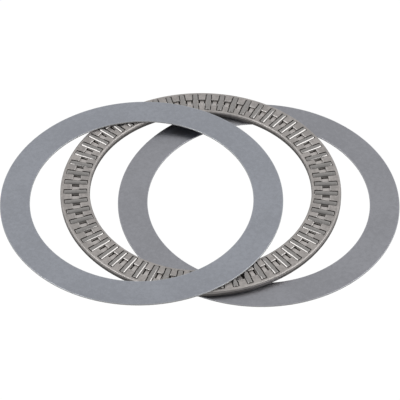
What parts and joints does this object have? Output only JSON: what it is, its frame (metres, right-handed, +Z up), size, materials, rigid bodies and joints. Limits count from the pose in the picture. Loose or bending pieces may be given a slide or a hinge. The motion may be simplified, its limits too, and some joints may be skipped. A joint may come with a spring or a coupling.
{
  "type": "thrust needle roller bearing",
  "caption": "Thrust bearing of a caged ring of needle rollers between two thin flat washers, its three loose rings fanned out as for display.",
  "frame": {"origin": "on the ground, in the middle of the fanned layout's footprint", "axes": "+Z up, along all three rings' axes; +X along the fan, from the top washer towards the bottom washer"},
  "size_m": [0.2686, 0.2016, 0.0076],
  "materials": {
    "bottom_washer_steel": "ground and hardened steel, satin, neutral grey",
    "top_washer_steel": "ground and hardened steel, satin, slightly blue grey",
    "cage_steel": "pressed sheet steel, tumbled, warm grey",
    "needle_steel": "ground and polished bearing steel"
  },
  "bodies": {
    "bottom_washer": {"bottom_washer": "bottom_washer_steel"},
    "cage": {"cage_lower_sheet": "cage_steel", "cage_upper_sheet": "cage_steel"},
    "top_washer": {"top_washer": "top_washer_steel"},
    "needle_01": {"needle_01": "needle_steel"},
    "needle_02": {"needle_02": "needle_steel"},
    "needle_03": {"needle_03": "needle_steel"},
    "needle_04": {"needle_04": "needle_steel"},
    "needle_05": {"needle_05": "needle_steel"},
    "needle_06": {"needle_06": "needle_steel"},
    "needle_07": {"needle_07": "needle_steel"},
    "needle_08": {"needle_08": "needle_steel"},
    "needle_09": {"needle_09": "needle_steel"},
    "needle_10": {"needle_10": "needle_steel"},
    "needle_11": {"needle_11": "needle_steel"},
    "needle_12": {"needle_12": "needle_steel"},
    "needle_13": {"needle_13": "needle_steel"},
    "needle_14": {"needle_14": "needle_steel"},
    "needle_16": {"needle_16": "needle_steel"},
    "needle_17": {"needle_17": "needle_steel"},
    "needle_18": {"needle_18": "needle_steel"},
    "needle_19": {"needle_19": "needle_steel"},
    "needle_20": {"needle_20": "needle_steel"},
    "needle_21": {"needle_21": "needle_steel"},
    "needle_22": {"needle_22": "needle_steel"},
    "needle_23": {"needle_23": "needle_steel"},
    "needle_24": {"needle_24": "needle_steel"},
    "needle_25": {"needle_25": "needle_steel"},
    "needle_26": {"needle_26": "needle_steel"},
    "needle_27": {"needle_27": "needle_steel"},
    "needle_28": {"needle_28": "needle_steel"},
    "needle_29": {"needle_29": "needle_steel"},
    "needle_31": {"needle_31": "needle_steel"},
    "needle_32": {"needle_32": "needle_steel"},
    "needle_33": {"needle_33": "needle_steel"},
    "needle_34": {"needle_34": "needle_steel"},
    "needle_35": {"needle_35": "needle_steel"},
    "needle_36": {"needle_36": "needle_steel"},
    "needle_37": {"needle_37": "needle_steel"},
    "needle_38": {"needle_38": "needle_steel"},
    "needle_39": {"needle_39": "needle_steel"},
    "needle_40": {"needle_40": "needle_steel"},
    "needle_41": {"needle_41": "needle_steel"},
    "needle_42": {"needle_42": "needle_steel"},
    "needle_43": {"needle_43": "needle_steel"},
    "needle_44": {"needle_44": "needle_steel"},
    "needle_46": {"needle_46": "needle_steel"},
    "needle_47": {"needle_47": "needle_steel"},
    "needle_48": {"needle_48": "needle_steel"},
    "needle_49": {"needle_49": "needle_steel"},
    "needle_50": {"needle_50": "needle_steel"},
    "needle_51": {"needle_51": "needle_steel"},
    "needle_52": {"needle_52": "needle_steel"},
    "needle_53": {"needle_53": "needle_steel"},
    "needle_54": {"needle_54": "needle_steel"},
    "needle_55": {"needle_55": "needle_steel"},
    "needle_56": {"needle_56": "needle_steel"},
    "needle_57": {"needle_57": "needle_steel"},
    "needle_58": {"needle_58": "needle_steel"},
    "needle_59": {"needle_59": "needle_steel"}
  },
  "joints": [
    {"name": "cage_orbit", "type": "hinge", "parent": "bottom_washer", "child": "cage", "pos_m": [0.00032, 0.00577, 0.0038], "axis": [0, 0, 1], "continuous": true},
    {"name": "top_washer_spin", "type": "hinge", "parent": "bottom_washer", "child": "top_washer", "pos_m": [-0.03934, -0.00577, 0.0066], "axis": [0, 0, 1], "continuous": true},
    {"name": "needle_01_roll", "type": "hinge", "parent": "cage", "child": "needle_01", "pos_m": [0.08506, 0.00903, 0.0038], "axis": [0.9993, 0.0384, 0], "continuous": true},
    {"name": "needle_02_roll", "type": "hinge", "parent": "cage", "child": "needle_02", "pos_m": [0.08425, 0.01786, 0.0038], "axis": [0.9898, 0.1426, 0], "continuous": true},
    {"name": "needle_03_roll", "type": "hinge", "parent": "cage", "child": "needle_03", "pos_m": [0.08253, 0.02657, 0.0038], "axis": [0.9694, 0.2453, 0], "continuous": true},
    {"name": "needle_04_roll", "type": "hinge", "parent": "cage", "child": "needle_04", "pos_m": [0.0799, 0.03505, 0.0038], "axis": [0.9385, 0.3453, 0], "continuous": true},
    {"name": "needle_05_roll", "type": "hinge", "parent": "cage", "child": "needle_05", "pos_m": [0.07641, 0.04321, 0.0038], "axis": [0.8973, 0.4415, 0], "continuous": true},
    {"name": "needle_06_roll", "type": "hinge", "parent": "cage", "child": "needle_06", "pos_m": [0.07208, 0.05096, 0.0038], "axis": [0.8462, 0.5329, 0], "continuous": true},
    {"name": "needle_07_roll", "type": "hinge", "parent": "cage", "child": "needle_07", "pos_m": [0.06696, 0.05821, 0.0038], "axis": [0.7859, 0.6184, 0], "continuous": true},
    {"name": "needle_08_roll", "type": "hinge", "parent": "cage", "child": "needle_08", "pos_m": [0.06111, 0.06489, 0.0038], "axis": [0.7169, 0.6972, 0], "continuous": true},
    {"name": "needle_09_roll", "type": "hinge", "parent": "cage", "child": "needle_09", "pos_m": [0.0546, 0.07092, 0.0038], "axis": [0.6401, 0.7683, 0], "continuous": true},
    {"name": "needle_10_roll", "type": "hinge", "parent": "cage", "child": "needle_10", "pos_m": [0.04749, 0.07624, 0.0038], "axis": [0.5563, 0.831, 0], "continuous": true},
    {"name": "needle_11_roll", "type": "hinge", "parent": "cage", "child": "needle_11", "pos_m": [0.03987, 0.08078, 0.0038], "axis": [0.4664, 0.8846, 0], "continuous": true},
    {"name": "needle_12_roll", "type": "hinge", "parent": "cage", "child": "needle_12", "pos_m": [0.03181, 0.08451, 0.0038], "axis": [0.3714, 0.9285, 0], "continuous": true},
    {"name": "needle_13_roll", "type": "hinge", "parent": "cage", "child": "needle_13", "pos_m": [0.02341, 0.08737, 0.0038], "axis": [0.2723, 0.9622, 0], "continuous": true},
    {"name": "needle_14_roll", "type": "hinge", "parent": "cage", "child": "needle_14", "pos_m": [0.01475, 0.08933, 0.0038], "axis": [0.1702, 0.9854, 0], "continuous": true},
    {"name": "needle_16_roll", "type": "hinge", "parent": "cage", "child": "needle_16", "pos_m": [-0.00294, 0.09051, 0.0038], "axis": [-0.0384, 0.9993, 0], "continuous": true},
    {"name": "needle_17_roll", "type": "hinge", "parent": "cage", "child": "needle_17", "pos_m": [-0.01178, 0.0897, 0.0038], "axis": [-0.1426, 0.9898, 0], "continuous": true},
    {"name": "needle_18_roll", "type": "hinge", "parent": "cage", "child": "needle_18", "pos_m": [-0.02048, 0.08798, 0.0038], "axis": [-0.2453, 0.9694, 0], "continuous": true},
    {"name": "needle_19_roll", "type": "hinge", "parent": "cage", "child": "needle_19", "pos_m": [-0.02896, 0.08535, 0.0038], "axis": [-0.3453, 0.9385, 0], "continuous": true},
    {"name": "needle_20_roll", "type": "hinge", "parent": "cage", "child": "needle_20", "pos_m": [-0.03712, 0.08186, 0.0038], "axis": [-0.4415, 0.8973, 0], "continuous": true},
    {"name": "needle_21_roll", "type": "hinge", "parent": "cage", "child": "needle_21", "pos_m": [-0.04487, 0.07753, 0.0038], "axis": [-0.5329, 0.8462, 0], "continuous": true},
    {"name": "needle_22_roll", "type": "hinge", "parent": "cage", "child": "needle_22", "pos_m": [-0.05212, 0.07241, 0.0038], "axis": [-0.6184, 0.7859, 0], "continuous": true},
    {"name": "needle_23_roll", "type": "hinge", "parent": "cage", "child": "needle_23", "pos_m": [-0.0588, 0.06656, 0.0038], "axis": [-0.6972, 0.7169, 0], "continuous": true},
    {"name": "needle_24_roll", "type": "hinge", "parent": "cage", "child": "needle_24", "pos_m": [-0.06483, 0.06005, 0.0038], "axis": [-0.7683, 0.6401, 0], "continuous": true},
    {"name": "needle_25_roll", "type": "hinge", "parent": "cage", "child": "needle_25", "pos_m": [-0.07015, 0.05294, 0.0038], "axis": [-0.831, 0.5563, 0], "continuous": true},
    {"name": "needle_26_roll", "type": "hinge", "parent": "cage", "child": "needle_26", "pos_m": [-0.07469, 0.04532, 0.0038], "axis": [-0.8846, 0.4664, 0], "continuous": true},
    {"name": "needle_27_roll", "type": "hinge", "parent": "cage", "child": "needle_27", "pos_m": [-0.07842, 0.03726, 0.0038], "axis": [-0.9285, 0.3714, 0], "continuous": true},
    {"name": "needle_28_roll", "type": "hinge", "parent": "cage", "child": "needle_28", "pos_m": [-0.08128, 0.02886, 0.0038], "axis": [-0.9622, 0.2723, 0], "continuous": true},
    {"name": "needle_29_roll", "type": "hinge", "parent": "cage", "child": "needle_29", "pos_m": [-0.08324, 0.0202, 0.0038], "axis": [-0.9854, 0.1702, 0], "continuous": true},
    {"name": "needle_31_roll", "type": "hinge", "parent": "cage", "child": "needle_31", "pos_m": [-0.08442, 0.00251, 0.0038], "axis": [-0.9993, -0.0384, 0], "continuous": true},
    {"name": "needle_32_roll", "type": "hinge", "parent": "cage", "child": "needle_32", "pos_m": [-0.08361, -0.00632, 0.0038], "axis": [-0.9898, -0.1426, 0], "continuous": true},
    {"name": "needle_33_roll", "type": "hinge", "parent": "cage", "child": "needle_33", "pos_m": [-0.08189, -0.01503, 0.0038], "axis": [-0.9694, -0.2453, 0], "continuous": true},
    {"name": "needle_34_roll", "type": "hinge", "parent": "cage", "child": "needle_34", "pos_m": [-0.07926, -0.02351, 0.0038], "axis": [-0.9385, -0.3453, 0], "continuous": true},
    {"name": "needle_35_roll", "type": "hinge", "parent": "cage", "child": "needle_35", "pos_m": [-0.07577, -0.03167, 0.0038], "axis": [-0.8973, -0.4415, 0], "continuous": true},
    {"name": "needle_36_roll", "type": "hinge", "parent": "cage", "child": "needle_36", "pos_m": [-0.07144, -0.03942, 0.0038], "axis": [-0.8462, -0.5329, 0], "continuous": true},
    {"name": "needle_37_roll", "type": "hinge", "parent": "cage", "child": "needle_37", "pos_m": [-0.06632, -0.04667, 0.0038], "axis": [-0.7859, -0.6184, 0], "continuous": true},
    {"name": "needle_38_roll", "type": "hinge", "parent": "cage", "child": "needle_38", "pos_m": [-0.06047, -0.05335, 0.0038], "axis": [-0.7169, -0.6972, 0], "continuous": true},
    {"name": "needle_39_roll", "type": "hinge", "parent": "cage", "child": "needle_39", "pos_m": [-0.05396, -0.05938, 0.0038], "axis": [-0.6401, -0.7683, 0], "continuous": true},
    {"name": "needle_40_roll", "type": "hinge", "parent": "cage", "child": "needle_40", "pos_m": [-0.04685, -0.0647, 0.0038], "axis": [-0.5563, -0.831, 0], "continuous": true},
    {"name": "needle_41_roll", "type": "hinge", "parent": "cage", "child": "needle_41", "pos_m": [-0.03923, -0.06924, 0.0038], "axis": [-0.4664, -0.8846, 0], "continuous": true},
    {"name": "needle_42_roll", "type": "hinge", "parent": "cage", "child": "needle_42", "pos_m": [-0.03117, -0.07297, 0.0038], "axis": [-0.3714, -0.9285, 0], "continuous": true},
    {"name": "needle_43_roll", "type": "hinge", "parent": "cage", "child": "needle_43", "pos_m": [-0.02277, -0.07583, 0.0038], "axis": [-0.2723, -0.9622, 0], "continuous": true},
    {"name": "needle_44_roll", "type": "hinge", "parent": "cage", "child": "needle_44", "pos_m": [-0.01411, -0.07779, 0.0038], "axis": [-0.1702, -0.9854, 0], "continuous": true},
    {"name": "needle_46_roll", "type": "hinge", "parent": "cage", "child": "needle_46", "pos_m": [0.00358, -0.07897, 0.0038], "axis": [0.0384, -0.9993, 0], "continuous": true},
    {"name": "needle_47_roll", "type": "hinge", "parent": "cage", "child": "needle_47", "pos_m": [0.01242, -0.07816, 0.0038], "axis": [0.1426, -0.9898, 0], "continuous": true},
    {"name": "needle_48_roll", "type": "hinge", "parent": "cage", "child": "needle_48", "pos_m": [0.02112, -0.07644, 0.0038], "axis": [0.2453, -0.9694, 0], "continuous": true},
    {"name": "needle_49_roll", "type": "hinge", "parent": "cage", "child": "needle_49", "pos_m": [0.0296, -0.07381, 0.0038], "axis": [0.3453, -0.9385, 0], "continuous": true},
    {"name": "needle_50_roll", "type": "hinge", "parent": "cage", "child": "needle_50", "pos_m": [0.03776, -0.07032, 0.0038], "axis": [0.4415, -0.8973, 0], "continuous": true},
    {"name": "needle_51_roll", "type": "hinge", "parent": "cage", "child": "needle_51", "pos_m": [0.04551, -0.06599, 0.0038], "axis": [0.5329, -0.8462, 0], "continuous": true},
    {"name": "needle_52_roll", "type": "hinge", "parent": "cage", "child": "needle_52", "pos_m": [0.05276, -0.06087, 0.0038], "axis": [0.6184, -0.7859, 0], "continuous": true},
    {"name": "needle_53_roll", "type": "hinge", "parent": "cage", "child": "needle_53", "pos_m": [0.05944, -0.05502, 0.0038], "axis": [0.6972, -0.7169, 0], "continuous": true},
    {"name": "needle_54_roll", "type": "hinge", "parent": "cage", "child": "needle_54", "pos_m": [0.06547, -0.04851, 0.0038], "axis": [0.7683, -0.6401, 0], "continuous": true},
    {"name": "needle_55_roll", "type": "hinge", "parent": "cage", "child": "needle_55", "pos_m": [0.07079, -0.0414, 0.0038], "axis": [0.831, -0.5563, 0], "continuous": true},
    {"name": "needle_56_roll", "type": "hinge", "parent": "cage", "child": "needle_56", "pos_m": [0.07533, -0.03378, 0.0038], "axis": [0.8846, -0.4664, 0], "continuous": true},
    {"name": "needle_57_roll", "type": "hinge", "parent": "cage", "child": "needle_57", "pos_m": [0.07906, -0.02572, 0.0038], "axis": [0.9285, -0.3714, 0], "continuous": true},
    {"name": "needle_58_roll", "type": "hinge", "parent": "cage", "child": "needle_58", "pos_m": [0.08192, -0.01732, 0.0038], "axis": [0.9622, -0.2723, 0], "continuous": true},
    {"name": "needle_59_roll", "type": "hinge", "parent": "cage", "child": "needle_59", "pos_m": [0.08388, -0.00866, 0.0038], "axis": [0.9854, -0.1702, 0], "continuous": true}
  ],
  "couplings": [
    {"joint": "top_washer_spin", "follows": "cage_orbit", "ratio": 2},
    {"joint": "needle_01_roll", "follows": "cage_orbit", "ratio": -33.92},
    {"joint": "needle_02_roll", "follows": "cage_orbit", "ratio": -33.92},
    {"joint": "needle_03_roll", "follows": "cage_orbit", "ratio": -33.92},
    {"joint": "needle_04_roll", "follows": "cage_orbit", "ratio": -33.92},
    {"joint": "needle_05_roll", "follows": "cage_orbit", "ratio": -33.92},
    {"joint": "needle_06_roll", "follows": "cage_orbit", "ratio": -33.92},
    {"joint": "needle_07_roll", "follows": "cage_orbit", "ratio": -33.92},
    {"joint": "needle_08_roll", "follows": "cage_orbit", "ratio": -33.92},
    {"joint": "needle_09_roll", "follows": "cage_orbit", "ratio": -33.92},
    {"joint": "needle_10_roll", "follows": "cage_orbit", "ratio": -33.92},
    {"joint": "needle_11_roll", "follows": "cage_orbit", "ratio": -33.92},
    {"joint": "needle_12_roll", "follows": "cage_orbit", "ratio": -33.92},
    {"joint": "needle_13_roll", "follows": "cage_orbit", "ratio": -33.92},
    {"joint": "needle_14_roll", "follows": "cage_orbit", "ratio": -33.92},
    {"joint": "needle_16_roll", "follows": "cage_orbit", "ratio": -33.92},
    {"joint": "needle_17_roll", "follows": "cage_orbit", "ratio": -33.92},
    {"joint": "needle_18_roll", "follows": "cage_orbit", "ratio": -33.92},
    {"joint": "needle_19_roll", "follows": "cage_orbit", "ratio": -33.92},
    {"joint": "needle_20_roll", "follows": "cage_orbit", "ratio": -33.92},
    {"joint": "needle_21_roll", "follows": "cage_orbit", "ratio": -33.92},
    {"joint": "needle_22_roll", "follows": "cage_orbit", "ratio": -33.92},
    {"joint": "needle_23_roll", "follows": "cage_orbit", "ratio": -33.92},
    {"joint": "needle_24_roll", "follows": "cage_orbit", "ratio": -33.92},
    {"joint": "needle_25_roll", "follows": "cage_orbit", "ratio": -33.92},
    {"joint": "needle_26_roll", "follows": "cage_orbit", "ratio": -33.92},
    {"joint": "needle_27_roll", "follows": "cage_orbit", "ratio": -33.92},
    {"joint": "needle_28_roll", "follows": "cage_orbit", "ratio": -33.92},
    {"joint": "needle_29_roll", "follows": "cage_orbit", "ratio": -33.92},
    {"joint": "needle_31_roll", "follows": "cage_orbit", "ratio": -33.92},
    {"joint": "needle_32_roll", "follows": "cage_orbit", "ratio": -33.92},
    {"joint": "needle_33_roll", "follows": "cage_orbit", "ratio": -33.92},
    {"joint": "needle_34_roll", "follows": "cage_orbit", "ratio": -33.92},
    {"joint": "needle_35_roll", "follows": "cage_orbit", "ratio": -33.92},
    {"joint": "needle_36_roll", "follows": "cage_orbit", "ratio": -33.92},
    {"joint": "needle_37_roll", "follows": "cage_orbit", "ratio": -33.92},
    {"joint": "needle_38_roll", "follows": "cage_orbit", "ratio": -33.92},
    {"joint": "needle_39_roll", "follows": "cage_orbit", "ratio": -33.92},
    {"joint": "needle_40_roll", "follows": "cage_orbit", "ratio": -33.92},
    {"joint": "needle_41_roll", "follows": "cage_orbit", "ratio": -33.92},
    {"joint": "needle_42_roll", "follows": "cage_orbit", "ratio": -33.92},
    {"joint": "needle_43_roll", "follows": "cage_orbit", "ratio": -33.92},
    {"joint": "needle_44_roll", "follows": "cage_orbit", "ratio": -33.92},
    {"joint": "needle_46_roll", "follows": "cage_orbit", "ratio": -33.92},
    {"joint": "needle_47_roll", "follows": "cage_orbit", "ratio": -33.92},
    {"joint": "needle_48_roll", "follows": "cage_orbit", "ratio": -33.92},
    {"joint": "needle_49_roll", "follows": "cage_orbit", "ratio": -33.92},
    {"joint": "needle_50_roll", "follows": "cage_orbit", "ratio": -33.92},
    {"joint": "needle_51_roll", "follows": "cage_orbit", "ratio": -33.92},
    {"joint": "needle_52_roll", "follows": "cage_orbit", "ratio": -33.92},
    {"joint": "needle_53_roll", "follows": "cage_orbit", "ratio": -33.92},
    {"joint": "needle_54_roll", "follows": "cage_orbit", "ratio": -33.92},
    {"joint": "needle_55_roll", "follows": "cage_orbit", "ratio": -33.92},
    {"joint": "needle_56_roll", "follows": "cage_orbit", "ratio": -33.92},
    {"joint": "needle_57_roll", "follows": "cage_orbit", "ratio": -33.92},
    {"joint": "needle_58_roll", "follows": "cage_orbit", "ratio": -33.92},
    {"joint": "needle_59_roll", "follows": "cage_orbit", "ratio": -33.92}
  ]
}
